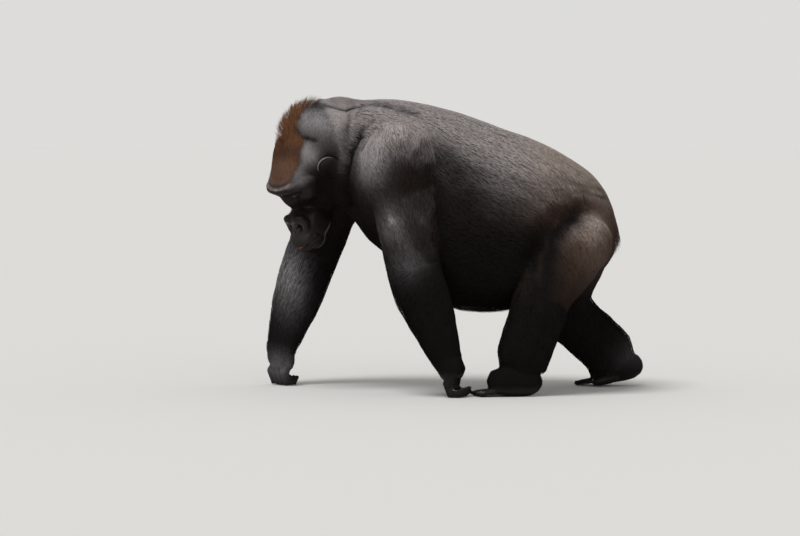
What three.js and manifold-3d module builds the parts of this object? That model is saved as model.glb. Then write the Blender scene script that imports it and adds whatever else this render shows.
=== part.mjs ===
// A western lowland gorilla at life size, walking on its knuckles with its head lowered and turned to its
// left. The solids are the animal's outline to the tips of its coat, parted where its body parts meet.
// Millimetres. +Z is up, the animal faces -X and its left side is -Y. The origin is on the ground, under
// the middle of the animal's box.

import * as THREE from "three";
import { mergeVertices } from "three/addons/utils/BufferGeometryUtils.js";
import Module from "manifold-3d";

const wasm = await Module();
wasm.setup();

const GAP = 0.4; // between two parts that meet
const LEFT = -1; // the sign of Y on the animal's left
const RIGHT = 1;
const POINT = (x, y, z) => new THREE.Vector3(x, y, z);
const SIDEWAYS = POINT(0, 1, 0);

// ---- Solids: three.js geometry made into something that can be joined and cut, and back ----

function solid(geometry) {
  const bare = new THREE.BufferGeometry();
  bare.setAttribute("position", geometry.getAttribute("position").clone());
  bare.setIndex(geometry.getIndex());
  const merged = mergeVertices(bare, 1e-3);
  return new wasm.Manifold(
    new wasm.Mesh({
      numProp: 3,
      vertProperties: merged.attributes.position.array,
      triVerts: new Uint32Array(merged.index.array),
    }),
  );
}

const join = (...solids) => solids.reduce((whole, next) => whole.add(next));

function mesh(name, shape, material) {
  const made = shape.simplify(GAP / 3).getMesh(); // drops the slivers that cuts leave
  const geometry = new THREE.BufferGeometry();
  geometry.setAttribute(
    "position",
    new THREE.BufferAttribute(new Float32Array(made.vertProperties), 3),
  );
  geometry.setIndex(new THREE.BufferAttribute(new Uint32Array(made.triVerts), 1));
  geometry.computeVertexNormals();
  const named = new THREE.Mesh(geometry, material);
  named.name = name;
  return named;
}

// The largest pieces that thin cuts leave, in the order that rank puts them.
function pieces(shape, count, rank) {
  return shape
    .decompose()
    .sort((a, b) => b.volume() - a.volume())
    .slice(0, count)
    .sort((a, b) => rank(b) - rank(a));
}

const height = (piece) => (piece.boundingBox().min[2] + piece.boundingBox().max[2]) / 2;
const forwardness = (piece) => -(piece.boundingBox().min[0] + piece.boundingBox().max[0]) / 2;

// A thin round cut through a point, square to a direction.
function cut(at, direction, radius) {
  const disc = new THREE.CylinderGeometry(radius, radius, GAP, 24);
  const turn = new THREE.Quaternion().setFromUnitVectors(
    POINT(0, 1, 0),
    direction.clone().normalize(),
  );
  disc.applyQuaternion(turn).translate(at.x, at.y, at.z);
  return solid(disc);
}

// ---- Flesh: tubes along a line of stations, and rounded masses ----

// A closed tube with round ends. Each station has its centre, its half size fore and aft (or up and down
// where the tube runs level), and its half width. An upright tube's sections all stand square to X.
function tube(
  stations,
  { sides = 14, rings = 10, square = 2.2, blunt = 8, grow = 0, upright = false } = {},
) {
  const centre = new THREE.CatmullRomCurve3(stations.map(([at]) => at));
  const half = new THREE.CatmullRomCurve3(
    stations.map(([, deep, wide]) => POINT(deep, wide, 0)),
  );
  const ball = new THREE.SphereGeometry(1, sides, rings);
  const place = ball.getAttribute("position");
  for (let i = 0; i < place.count; i++) {
    const share = THREE.MathUtils.clamp((1 - place.getY(i)) / 2, 0, 1);
    const ring = Math.hypot(place.getX(i), place.getZ(i));
    const along = upright ? POINT(-1, 0, 0) : centre.getTangent(share);
    const side = SIDEWAYS.clone().addScaledVector(along, -SIDEWAYS.dot(along)).normalize();
    const front = along.clone().cross(side);
    const size = half.getPoint(share);
    const swell = Math.sqrt(Math.max(0, 1 - Math.abs(2 * share - 1) ** blunt));
    const across = ring > 1e-6 ? flatten(place.getX(i) / ring, square) : 0;
    const ahead = ring > 1e-6 ? flatten(place.getZ(i) / ring, square) : 0;
    const at = centre
      .getPoint(share)
      .addScaledVector(side, across * (size.y * swell + (swell > 0 ? grow : 0)))
      .addScaledVector(front, ahead * (size.x * swell + (swell > 0 ? grow : 0)))
      .addScaledVector(along, -place.getY(i) * grow);
    place.setXYZ(i, at.x, at.y, at.z);
  }
  return solid(ball);
}

// One coordinate of a unit circle, moved onto a squarer curve.
const flatten = (value, square) => Math.sign(value) * Math.abs(value) ** (2 / square);

function mass(at, [long, wide, high], { tilt = 0, grow = 0, detail = 11 } = {}) {
  const ball = new THREE.SphereGeometry(1, detail, Math.round(detail * 0.7));
  ball.scale(long + grow, wide + grow, high + grow);
  ball.rotateY(THREE.MathUtils.degToRad(tilt));
  ball.translate(at.x, at.y, at.z);
  return solid(ball);
}

// Stations of a limb from its joints. Each row has a place, such as 1.5 for half way from the second
// joint to the third, and the half sizes there.
function limb(joints, rows) {
  return rows.map(([place, deep, wide]) => {
    const first = THREE.MathUtils.clamp(Math.floor(place), 0, joints.length - 2);
    return [joints[first].clone().lerp(joints[first + 1], place - first), deep, wide];
  });
}

// ---- Trunk: a level tube from the rump to the root of the neck, deepest at the belly ----

const TRUNK = [
  // x, height of the back, height of the underside, half width
  [512, 520, 480, 40],
  [486, 610, 402, 122],
  [432, 692, 352, 176],
  [350, 746, 316, 212],
  [250, 796, 282, 244],
  [130, 838, 250, 268],
  [0, 885, 254, 276],
  [-110, 914, 322, 268],
  [-210, 927, 424, 244],
  [-300, 924, 478, 204],
  [-386, 880, 560, 140],
];
const CHEST_END = -40; // where the chest meets the abdomen
const ABDOMEN_END = 250; // where the abdomen meets the rump

function trunk(grow = 0) {
  const stations = TRUNK.map(([x, back, belly, wide]) => [
    POINT(x, 0, (back + belly) / 2),
    (back - belly) / 2,
    wide,
  ]);
  return tube(stations, { sides: 24, rings: 14, square: 2.3, blunt: 12, grow, upright: true });
}

// ---- Neck: the thick mass of muscle between the shoulders and the back of the skull ----

const NECK = [
  [POINT(-110, 0, 690), 96, 96],
  [POINT(-200, 0, 716), 168, 160],
  [POINT(-280, 0, 736), 188, 180],
  [POINT(-340, -6, 764), 166, 122],
  [POINT(-392, -16, 804), 126, 84],
  [POINT(-440, -30, 822), 100, 90],
  [POINT(-488, -42, 838), 78, 68],
];

const neckTube = (grow = 0) => tube(NECK, { sides: 16, rings: 9, blunt: 6, grow });

// ---- Head: forms blended into one skin, in the skull's own frame ----
// Forward, left and up from the middle of the line between the ear holes, with the skull level.

const HEAD_AT = POINT(-464, -15, 701);
const HEAD_SIZE = 1.09; // of the lengths below
const HEAD_TURN = 40; // degrees to the animal's left
const HEAD_NOD = 55; // degrees down from level
const SOFT = 22; // blend between large forms
const CRISP = 10; // blend between features of the face

// Large forms: [forward, left, up], [half length, half width, half height]. Those off the middle line
// are on both sides.
const SKULL = [
  [[-5, 0, 40], [92, 68, 74]], // cranium
  [[-20, 32, 70], [66, 32, 48]], // temple muscles beside the crest
  [[50, 0, 58], [48, 40, 44]], // forehead
  [[66, 0, -10], [52, 54, 58]], // middle of the face
  [[-8, 52, 4], [40, 28, 44]], // roots of the ears
  [[40, 58, -62], [54, 28, 60]], // jaw muscles
  [[128, 0, -86], [60, 44, 42]], // muzzle
  [[120, 0, -122], [66, 40, 36]], // lower jaw
  [[24, 0, -88], [72, 56, 50]], // throat
  [[-60, 0, 14], [76, 74, 90]], // back of the head
];
const FEATURES = [
  [[78, 56, 2], [30, 26, 22]], // cheek bones
  [[120, 0, -8], [18, 14, 44]], // bridge of the nose
  [[150, 16, -46], [21, 18, 24]], // wings of the nose
  [[163, 15, -70], [21, 16, 22]], // and where they end over the lip
  [[158, 0, -42], [16, 16, 22]], // tip of the nose
  [[178, 0, -94], [28, 38, 22]], // upper lip
  [[176, 0, -122], [28, 32, 20]], // lower lip
  [[158, 0, -146], [26, 28, 22]], // chin
];
const HOLLOWS = [
  [[124, 34, 28], [20, 22, 13]], // eye sockets
  [[178, 15, -54], [10, 9, 9]], // nostrils
  [[220, 0, -108], [34, 36, 3]], // parting of the lips
];
const CREST = { at: [-80, 0, 104], half: [82, 36, 78] };
const BROW = { forward: 110, left: 72, up: 54, swept: 27, drop: 5, deep: 21, high: 16 };
const EYE = { at: [100, 33, 27], radius: 14 };
const EAR = { at: [-12, 94, 11], long: 29, wide: 9, high: 35 };

function distance([forward, left, up], [[f, l, u], [a, b, c]]) {
  const [x, y, z] = [forward - f, (l ? Math.abs(left) : left) - l, up - u];
  const reach = Math.hypot(x / a, y / b, z / c);
  return (reach * (reach - 1)) / Math.max(1e-9, Math.hypot(x / a ** 2, y / b ** 2, z / c ** 2));
}

function blend(first, second, width) {
  const near = Math.max(width - Math.abs(first - second), 0) / width;
  return Math.min(first, second) - (near * near * width) / 4;
}

function headSurface(at) {
  const fold = (forms, from, width) =>
    forms.reduce((whole, form) => blend(whole, distance(at, form), width), from);
  const flesh = fold(FEATURES, fold(SKULL, 1e3, SOFT), CRISP);
  return -fold(HOLLOWS, -flesh, CRISP / 2);
}

// The skull's frame in the animal's.
function headPlace() {
  const nod = new THREE.Matrix4().makeRotationY(THREE.MathUtils.degToRad(HEAD_NOD));
  const turn = new THREE.Matrix4().makeRotationZ(THREE.MathUtils.degToRad(180 + HEAD_TURN));
  return new THREE.Matrix4()
    .makeTranslation(HEAD_AT.x, HEAD_AT.y, HEAD_AT.z)
    .multiply(turn)
    .multiply(nod)
    .scale(POINT(HEAD_SIZE, HEAD_SIZE, HEAD_SIZE));
}

// A ball let out from a line that runs through the head from its back to its lips, square to the line
// along its length and fanned out at its two ends, until it meets the head's surface.
const THROUGH_HEAD = new THREE.CatmullRomCurve3([
  POINT(-66, 0, 26),
  POINT(0, 0, 34),
  POINT(58, 0, 14),
  POINT(104, 0, -50),
  POINT(140, 0, -96),
]);

function headForms(grow) {
  const STEP = 0.4;
  const ball = new THREE.SphereGeometry(1, 27, 24);
  const place = ball.getAttribute("position");
  for (let i = 0; i < place.count; i++) {
    const share = THREE.MathUtils.clamp(Math.acos(place.getY(i)) / Math.PI, 0, 1);
    const along = THROUGH_HEAD.getTangent(share);
    const way = along.clone().multiplyScalar(-(place.getY(i) ** 5));
    way.addScaledVector(SIDEWAYS, place.getX(i));
    way.addScaledVector(along.clone().cross(SIDEWAYS), place.getZ(i)).normalize();
    const at = THROUGH_HEAD.getPoint(share);
    for (let depth = 1; depth > 0; ) {
      depth = grow - headSurface(at.toArray());
      at.addScaledVector(way, Math.max(depth * 0.5, STEP));
    }
    place.setXYZ(i, at.x, at.y, at.z);
  }
  return ball;
}

// The tall hair and muscle along the top of the skull.
function crest(grow) {
  const [long, wide, high] = CREST.half;
  const ball = new THREE.SphereGeometry(1, 12, 9);
  return ball.scale(long + grow, wide + grow, high + grow).translate(...CREST.at);
}

// A bar over both eyes, swept back at its ends.
function brow(grow) {
  const bar = new THREE.SphereGeometry(1, 8, 11);
  const place = bar.getAttribute("position");
  for (let i = 0; i < place.count; i++) {
    const out = place.getY(i);
    const blunt = Math.sqrt(1 + out ** 2); // squares off the ball's taper
    place.setXYZ(
      i,
      BROW.forward - BROW.swept * out ** 2 + place.getX(i) * blunt * (BROW.deep + grow),
      (BROW.left + grow) * out,
      BROW.up - BROW.drop * out ** 2 + place.getZ(i) * blunt * (BROW.high + grow),
    );
  }
  return bar;
}

const head = (grow = 0) =>
  join(...[headForms(grow), crest(grow), brow(grow)].map(solid)).transform(headPlace().toArray());

const onHead = ([forward, left, up], side = RIGHT) =>
  POINT(forward, -side * left, up).applyMatrix4(headPlace());

function eye(side, grow = 0) {
  const ball = new THREE.SphereGeometry(EYE.radius + grow, 8, 6);
  const at = onHead(EYE.at, side);
  return solid(ball.translate(at.x, at.y, at.z));
}

// A shallow cup that stands out from the side of the head.
function ear(side) {
  const shell = new THREE.SphereGeometry(1, 12, 8).scale(EAR.long, EAR.wide, EAR.high);
  const bowl = new THREE.SphereGeometry(1, 8, 6).scale(
    EAR.long * 0.72,
    EAR.wide * 0.9,
    EAR.high * 0.74,
  );
  bowl.translate(2, EAR.wide * 0.8, 2);
  const stand = new THREE.Matrix4().makeRotationZ(THREE.MathUtils.degToRad(-30));
  const [forward, left, up] = EAR.at;
  const place = new THREE.Matrix4()
    .multiplyMatrices(headPlace(), new THREE.Matrix4().makeScale(1, -side, 1))
    .multiply(new THREE.Matrix4().makeTranslation(forward, left, up))
    .multiply(stand);
  const cup = solid(shell).subtract(solid(bowl));
  const made = cup.transform(place.toArray());
  return made;
}

// ---- Arms: shoulder, elbow and wrist, with the knuckles on the ground ----

const ARMS = {
  left: {
    side: LEFT,
    joints: [POINT(-184, -206, 738), POINT(-140, -274, 402), POINT(-32, -240, 112)],
    knuckles: -6, // where the hand's knuckles are, fore and aft
    sweep: -16,
  },
  right: {
    side: RIGHT,
    joints: [POINT(-322, 196, 735), POINT(-461, 262, 418), POINT(-560, 236, 114)],
    knuckles: -557.5,
    sweep: -32,
  },
};
const ARM = [
  // place between the joints, half size fore and aft, half width
  [-0.02, 60, 50],
  [0.14, 108, 88],
  [0.4, 102, 84],
  [0.7, 91, 76],
  [1, 90, 72],
  [1.3, 87, 70],
  [1.5, 82, 65],
  [1.75, 70, 57],
  [2, 58, 48],
  [2.12, 46, 44],
];
const DELTOID = [128, 102, 156];

function arm({ side, joints }) {
  const shoulder = joints[0].clone().add(POINT(0, side * 10, -28));
  return join(tube(limb(joints, ARM), { sides: 12, rings: 12 }), mass(shoulder, DELTOID));
}

// A fist on its knuckles: the palm goes on down from the wrist, the middle bones of the fingers lie on
// the ground and their tips are turned back under it.
const KNUCKLE_HEIGHT = 60;
const FINGER_SPACING = 26;
const FINGERS = [0.94, 1.04, 1, 0.9]; // from the thumb side, relative lengths
const FINGER = [
  // forward of the knuckles, height, half thickness
  [-2, 76, 24],
  [12, 46, 23],
  [20, 19, 22],
  [-6, 11, 20],
  [-32, 17, 17],
  [-38, 37, 15],
];
const FINGER_SLIM = 0.58; // half width over half thickness
const THUMB = [
  // forward of the knuckles, height, inward of the middle, half thickness
  [-8, 98, 40, 18],
  [-2, 74, 56, 15],
  [6, 50, 60, 12],
];

function hand({ side, joints: [, , wrist], knuckles, sweep }) {
  const turn = THREE.MathUtils.degToRad(-side * sweep);
  const at = (forward, inward, up) =>
    POINT(-forward, -side * inward, up)
      .applyAxisAngle(POINT(0, 0, 1), turn)
      .add(POINT(knuckles, wrist.y, 0));
  const root = at(0, 0, KNUCKLE_HEIGHT);
  const palm = tube(
    [[-0.35, 44, 42], [0.2, 46, 52], [0.7, 44, 55], [1.1, 37, 53]].map(([share, deep, wide]) => [
      wrist.clone().lerp(root, share),
      deep,
      wide,
    ]),
    { sides: 10, rings: 5 },
  );
  const fingers = FINGERS.map((length, i) => {
    const inward = (1.5 - i) * FINGER_SPACING;
    const rows = FINGER.map(([forward, up, half]) => [
      at(forward * length, inward, up),
      half,
      half * FINGER_SLIM,
    ]);
    return tube(rows, { sides: 5, rings: 6, blunt: 6 });
  });
  const thumb = tube(
    THUMB.map(([forward, up, inward, half]) => [at(forward, inward, up), half, half]),
    { sides: 6, rings: 4, blunt: 6 },
  );
  return join(palm, thumb, ...fingers);
}

// ---- Legs: hip, knee and ankle, the left one under the body and the right one pushing off behind ----

const LEGS = {
  left: {
    side: LEFT,
    joints: [POINT(372, -136, 536), POINT(268, -200, 312), POINT(194, -202, 92)],
    heel: 282,
    lift: 0,
    sweep: 6,
  },
  right: {
    side: RIGHT,
    joints: [POINT(376, 132, 536), POINT(322, 186, 262), POINT(518, 196, 86)],
    heel: 618,
    lift: 30,
    sweep: 10,
  },
};
const THIGH = [
  // share of the bone's length, half size fore and aft, half width
  [-0.24, 100, 86],
  [0.1, 148, 118],
  [0.45, 134, 108],
  [0.8, 110, 92],
  [1.2, 92, 80],
];
const SHANK = [
  [-0.24, 88, 78],
  [0.05, 95, 84],
  [0.4, 90, 76],
  [0.75, 91, 66],
  [1.14, 104, 56],
];

function leg({ joints: [hip, knee, ankle] }) {
  const bone = (from, to, rows) =>
    tube(rows.map(([share, deep, wide]) => [from.clone().lerp(to, share), deep, wide]), {
      sides: 12,
      rings: 8,
      blunt: 5,
    });
  return join(bone(hip, knee, THIGH), bone(knee, ankle, SHANK));
}

// A flat foot with its great toe set apart like a thumb.
const SOLE = [
  // forward of the heel's back, height, half thickness, half width
  [18, 36, 26, 26],
  [50, 46, 44, 36],
  [100, 52, 50, 42],
  [150, 50, 48, 46],
  [186, 30, 28, 47],
];
const SINK = 5; // how far the sole's rounding goes below the ground, where it is cut flat
const TOE_SPACING = 20;
const TOES = [1, 0.97, 0.88, 0.76]; // from the inner side, relative lengths
const TOE = { root: 170, tip: 242, height: 13, half: 12 };
const GREAT_TOE = [
  [94, 24, 24, 21],
  [134, 20, 52, 19],
  [178, 17, 72, 16],
];

function foot({ side, joints, heel, lift, sweep }) {
  const turn = THREE.MathUtils.degToRad(-side * sweep);
  const rise = (forward) => lift * Math.max(0, 1 - forward / TOE.root) - SINK;
  const at = (forward, inward, up) =>
    POINT(-forward, -side * inward, up + rise(forward))
      .applyAxisAngle(POINT(0, 0, 1), turn)
      .add(POINT(heel, joints[2].y, 0));
  const sole = tube(
    SOLE.map(([forward, up, deep, wide]) => [at(forward, 0, up), deep, wide]),
    { sides: 10, rings: 7, square: 2.6 },
  );
  const toes = TOES.map((length, i) => {
    const inward = (1.5 - i) * TOE_SPACING;
    const tip = TOE.root + (TOE.tip - TOE.root) * length;
    const middle = (TOE.root + tip) / 2;
    const rows = [
      [at(TOE.root - 16, inward, TOE.height + 8), TOE.half, TOE.half * 0.8],
      [at(middle, inward, TOE.height + 5), TOE.half, TOE.half * 0.8],
      [at(tip, inward, TOE.height - 3), TOE.half, TOE.half * 0.76],
    ];
    return tube(rows, { sides: 5, rings: 4, blunt: 5 });
  });
  const great = tube(
    GREAT_TOE.map(([forward, up, inward, half]) => [at(forward, inward, up), half, half]),
    { sides: 6, rings: 5, blunt: 5 },
  );
  return join(sole, great, ...toes);
}

// ---- The animal: whole limbs, fitted to the trunk, parted at their joints and cut level with the ground ----

const BELOW = solid(new THREE.BoxGeometry(2400, 1600, 200).translate(0, 0, -100));

const COAT = new THREE.MeshStandardMaterial({ color: 0x1c1917, roughness: 0.75, metalness: 0 });
const SKIN = new THREE.MeshStandardMaterial({ color: 0x151416, roughness: 0.45, metalness: 0 });
const EYES = new THREE.MeshStandardMaterial({ color: 0x2a140a, roughness: 0.08, metalness: 0 });

const animal = new THREE.Group();
const body = trunk();
const bodyRoom = trunk(GAP);
const headRoom = join(neckTube(GAP), head(GAP));

function addTrunk() {
  const cuts = [CHEST_END, ABDOMEN_END].map((x) => cut(POINT(x, 0, 560), POINT(1, 0, 0), 500));
  const [chest, abdomen, rump] = pieces(body.subtract(join(...cuts)), 3, forwardness);
  animal.add(mesh("chest", chest, COAT), mesh("abdomen", abdomen, COAT), mesh("rump", rump, COAT));
}

function addHead() {
  const nape = cut(POINT(-408, 0, 792), POINT(-0.93, -0.2, -0.3), 420);
  const eyes = [LEFT, RIGHT].map((side) => eye(side, GAP));
  const whole = join(neckTube(), head()).subtract(bodyRoom);
  const [skull, neck] = pieces(whole.subtract(join(nape, ...eyes)), 2, forwardness);
  animal.add(mesh("head", skull, SKIN), mesh("neck", neck, COAT));
  for (const [name, side] of [["left", LEFT], ["right", RIGHT]]) {
    animal.add(mesh("eye_" + name, eye(side), EYES));
    const [cup] = pieces(ear(side).subtract(headRoom), 1, height);
    animal.add(mesh("ear_" + name, cup, SKIN));
  }
}

function addArm(name, limits) {
  const [shoulder, elbow, wrist] = limits.joints;
  const cuts = [
    cut(elbow, wrist.clone().sub(shoulder), 200),
    cut(wrist, wrist.clone().sub(elbow), 120),
  ];
  const whole = join(arm(limits), hand(limits)).subtract(join(BELOW, bodyRoom, headRoom));
  const [upper, fore, fist] = pieces(whole.subtract(join(...cuts)), 3, height);
  animal.add(
    mesh("upper_arm_" + name, upper, COAT),
    mesh("forearm_" + name, fore, COAT),
    mesh("hand_" + name, fist, SKIN),
  );
}

function addLeg(name, limits) {
  const [hip, knee, ankle] = limits.joints;
  const cuts = [
    cut(knee, ankle.clone().sub(hip), 220),
    cut(ankle, ankle.clone().sub(knee).normalize().add(POINT(0, 0, -1.5)), 120),
  ];
  const whole = join(leg(limits), foot(limits)).subtract(join(BELOW, bodyRoom));
  const [thigh, shank, sole] = pieces(whole.subtract(join(...cuts)), 3, height);
  animal.add(
    mesh("thigh_" + name, thigh, COAT),
    mesh("shank_" + name, shank, COAT),
    mesh("foot_" + name, sole, SKIN),
  );
}

addTrunk();
addHead();
for (const [name, limits] of Object.entries(ARMS)) addArm(name, limits);
for (const [name, limits] of Object.entries(LEGS)) addLeg(name, limits);

const box = new THREE.Box3().setFromObject(animal);
animal.position.set(-(box.min.x + box.max.x) / 2, -(box.min.y + box.max.y) / 2, 0);

export default animal;
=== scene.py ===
import math

import bmesh
import bpy
import numpy as np
from mathutils import Matrix, Vector
from mathutils.bvhtree import BVHTree
from mathutils.kdtree import KDTree


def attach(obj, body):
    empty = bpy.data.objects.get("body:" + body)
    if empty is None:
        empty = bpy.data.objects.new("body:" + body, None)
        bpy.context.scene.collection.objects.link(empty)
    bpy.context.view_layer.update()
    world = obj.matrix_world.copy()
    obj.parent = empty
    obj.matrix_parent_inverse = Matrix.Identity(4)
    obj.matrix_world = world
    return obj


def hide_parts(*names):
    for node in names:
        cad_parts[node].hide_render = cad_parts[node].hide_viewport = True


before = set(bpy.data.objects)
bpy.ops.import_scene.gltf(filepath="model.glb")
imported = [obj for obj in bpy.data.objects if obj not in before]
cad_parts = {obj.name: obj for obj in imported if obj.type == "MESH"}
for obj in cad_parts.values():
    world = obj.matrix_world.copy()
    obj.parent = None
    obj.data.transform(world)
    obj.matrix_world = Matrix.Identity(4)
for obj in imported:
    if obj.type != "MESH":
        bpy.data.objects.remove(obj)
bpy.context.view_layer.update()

# ---- View ----
# A long lens from the animal's left, level with its back and a little above it, so that its legs and back
# are seen without perspective.
camera = bpy.data.objects.new("camera", bpy.data.cameras.new("camera"))
bpy.context.collection.objects.link(camera)
VIEW_AT = Vector((-0.173, 0.005, 0.388))
VIEW_HEIGHT, VIEW_FAR = math.radians(3), 14.0
camera.location = VIEW_AT + Vector((0, -math.cos(VIEW_HEIGHT), math.sin(VIEW_HEIGHT))) * VIEW_FAR
camera.rotation_euler = (math.pi / 2 - VIEW_HEIGHT, 0, 0)
camera.data.lens = 36 * VIEW_FAR / 2.52
camera.data.clip_end = 60
bpy.context.scene.camera = camera
bpy.context.scene.view_settings.view_transform = "Standard"

# ---- Studio ----
# A pale floor that runs to a pale surround, a soft sun over the back from the front left, and a weaker one
# from the viewer's side.
floor_mesh = bmesh.new()
bmesh.ops.create_grid(floor_mesh, x_segments=1, y_segments=1, size=30)
floor = bpy.data.objects.new("floor", bpy.data.meshes.new("floor"))
floor_mesh.to_mesh(floor.data)
floor_mesh.free()
bpy.context.collection.objects.link(floor)


class Value:
    """A socket in a material. Arithmetic on it adds the Math nodes."""

    def __init__(self, tree, socket):
        self.tree, self.socket = tree, socket

    def put(self, kind, settings=(), inputs=(), output=0):
        """Adds a node with its settings and its sockets' values or links, and returns one output."""
        node = self.tree.nodes.new(kind)
        for key, value in dict(settings).items():
            setattr(node, key, value)
        for key, value in dict(inputs).items():
            if isinstance(value, Value):
                self.tree.links.new(value.socket, node.inputs[key])
            else:
                node.inputs[key].default_value = value
        return Value(self.tree, node.outputs[output])

    def reckon(self, operation, *values):
        return self.put("ShaderNodeMath", {"operation": operation}, dict(enumerate(values)))

    def __add__(self, other):
        return self.reckon("ADD", self, other)

    def __sub__(self, other):
        return self.reckon("SUBTRACT", self, other)

    def __rsub__(self, other):
        return self.reckon("SUBTRACT", other, self)

    def __mul__(self, other):
        return self.reckon("MULTIPLY", self, other)

    __radd__, __rmul__ = __add__, __mul__

    def clamp(self):
        return self.put("ShaderNodeClamp", {}, {"Value": self})

    def spot(self, name):
        """What the mesh keeps at its points under this name."""
        return self.put("ShaderNodeAttribute", {"attribute_name": name}, output="Fac")

    def mixed(self, first, second, share):
        """The first colour, with a share of the second."""
        sockets = {"Factor": share, 6: first, 7: second}
        return self.put("ShaderNodeMix", {"data_type": "RGBA"}, sockets, output=2)

    def mix(self, other, share):
        """This colour, with a share of another."""
        return self.mixed(self, other, share)

    def feed(self, shader, name):
        """Leads this value to one of a shader's sockets."""
        self.tree.links.new(self.socket, shader.inputs[name])


def material(name, sockets):
    """A new material whose Principled shader has these values. Returns it, its shader and its tree."""
    made = bpy.data.materials.new(name)
    made.use_nodes = True
    shader = made.node_tree.nodes["Principled BSDF"]
    for key, value in sockets.items():
        shader.inputs[key].default_value = value
    return made, shader, Value(made.node_tree, None)


PALE = (0.66, 0.655, 0.64, 1)
paper = material("pale_floor", {"Base Color": PALE, "Roughness": 0.9, "Specular IOR Level": 0.1})[0]
floor.data.materials.append(paper)

# What shows behind the floor's far edge, and in gloss, is pale as the floor. Its light is weaker.
world = bpy.data.worlds.new("surround")
world.use_nodes = True
bpy.context.scene.world = world
background = world.node_tree.nodes["Background"]
background.inputs["Color"].default_value = PALE
SURROUND_LIGHT, SURROUND_SHOWN = 0.78, 1.096
surround = Value(world.node_tree, None)
seen = surround.put("ShaderNodeLightPath", output="Is Camera Ray")
in_gloss = surround.put("ShaderNodeLightPath", output="Is Glossy Ray")
shown = (seen + in_gloss).clamp() * (SURROUND_SHOWN - SURROUND_LIGHT) + SURROUND_LIGHT
shown.feed(background, "Strength")


def lamp(name, direction, strength, softness):
    """A far lamp that shines in this direction, with its softness in degrees."""
    light = bpy.data.lights.new(name, "SUN")
    light.energy, light.angle = strength, math.radians(softness)
    holder = bpy.data.objects.new(name, light)
    holder.rotation_euler = Vector(direction).to_track_quat("-Z", "Y").to_euler()
    bpy.context.collection.objects.link(holder)


lamp("top_lamp", (0.30, 0.42, -1.0), 1.9, 24)
lamp("side_lamp", (-0.2, 1.0, -0.35), 0.35, 60)

# ---- Skin: the whole body in one piece ----
# Bare black skin on the face, ears, palms and soles, and dark skin under the coat. It runs unbroken over
# head, trunk and limbs, and lies inside the outline of the coat by the depth of the hair there.
FLESH = [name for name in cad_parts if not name.startswith("eye_")]
FINE = 0.0042  # edge of the mesh on hands and feet
THINNED = 0.22  # share of the mesh that is kept on trunk and limbs
OVERLAP = 0.0006  # by which the solids are grown, so that neighbours run into each other

gathered = bmesh.new()
for name in FLESH:
    if name.startswith(("head", "ear")):
        continue
    part = bmesh.new()
    part.from_mesh(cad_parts[name].data)
    bmesh.ops.remove_doubles(part, verts=part.verts, dist=1e-6)
    part.normal_update()
    for vertex in part.verts:
        vertex.co += vertex.normal * OVERLAP
    loose = bpy.data.meshes.new("loose")
    part.to_mesh(loose)
    part.free()
    gathered.from_mesh(loose)
    bpy.data.meshes.remove(loose)
skin = bpy.data.objects.new("skin", bpy.data.meshes.new("skin"))
gathered.to_mesh(skin.data)
gathered.free()
bpy.context.collection.objects.link(skin)


def settle(piece):
    """Applies a piece's modifiers."""
    seen_now = bpy.context.evaluated_depsgraph_get()
    done = bpy.data.meshes.new_from_object(piece.evaluated_get(seen_now))
    old = piece.data
    piece.modifiers.clear()
    piece.data = done
    bpy.data.meshes.remove(old)


def read(rows, key):
    """The vectors that a mesh keeps in its rows, as one array."""
    flat = np.empty(len(rows) * 3)
    rows.foreach_get(key, flat)
    return flat.reshape(-1, 3)


remesh = skin.modifiers.new("one_surface", "REMESH")
remesh.mode, remesh.voxel_size = "VOXEL", FINE
settle(skin)

# Which part of the body each point of the skin belongs to.
corners, faces, owner = [], [], []
for index, name in enumerate(FLESH):
    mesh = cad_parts[name].data
    start = len(corners)
    corners += [tuple(v.co) for v in mesh.vertices]
    for polygon in mesh.polygons:
        faces.append([start + i for i in polygon.vertices])
        owner.append(index)
outline = BVHTree.FromPolygons(corners, faces)


def parts_of(points):
    """The part of the body that is nearest to each point, by its place in FLESH."""
    return np.array([owner[outline.find_nearest(Vector(p))[2]] for p in points])


part = parts_of(read(skin.data.vertices, "co"))
FINE_PARTS = ("hand_left", "hand_right", "foot_left", "foot_right")
coarse = skin.vertex_groups.new(name="coarse")
plain = ~np.isin(part, [FLESH.index(name) for name in FINE_PARTS])
coarse.add(np.nonzero(plain)[0].tolist(), 1.0, "REPLACE")
thin = skin.modifiers.new("thin_out", "DECIMATE")
thin.vertex_group = "coarse"
thin.ratio = THINNED
settle(skin)
skin.vertex_groups.clear()


def take():
    """Reads the skin's points and the pairs of points that its edges join."""
    global points, pairs, degree, count
    points = read(skin.data.vertices, "co")
    pairs = np.empty(len(skin.data.edges) * 2, int)
    skin.data.edges.foreach_get("vertices", pairs)
    pairs = pairs.reshape(-1, 2)
    count = len(points)
    degree = np.bincount(pairs.ravel(), minlength=count).astype(float)


def around(values):
    """The mean of each point's neighbours."""
    flat = values.reshape(count, -1)
    total = np.empty_like(flat)
    for k in range(flat.shape[1]):
        column = flat[:, k]
        total[:, k] = np.bincount(pairs[:, 0], column[pairs[:, 1]], count)
        total[:, k] += np.bincount(pairs[:, 1], column[pairs[:, 0]], count)
    return (total / degree[:, None]).reshape(values.shape)


def spread(values, rounds):
    """Values at the points, evened out with their neighbours' that many times."""
    for _ in range(rounds):
        values = (values + around(values)) / 2
    return values


def normals():
    """Writes the points back and reads the skin's normals."""
    skin.data.vertices.foreach_set("co", points.ravel())
    skin.data.update()
    return read(skin.data.vertex_normals, "vector")


def ramp(values, low, high):
    """0 below low, 1 above high, and smooth between them."""
    share = np.clip((values - low) / (high - low), 0, 1)
    return share * share * (3 - 2 * share)


take()
part = parts_of(points)


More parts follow.
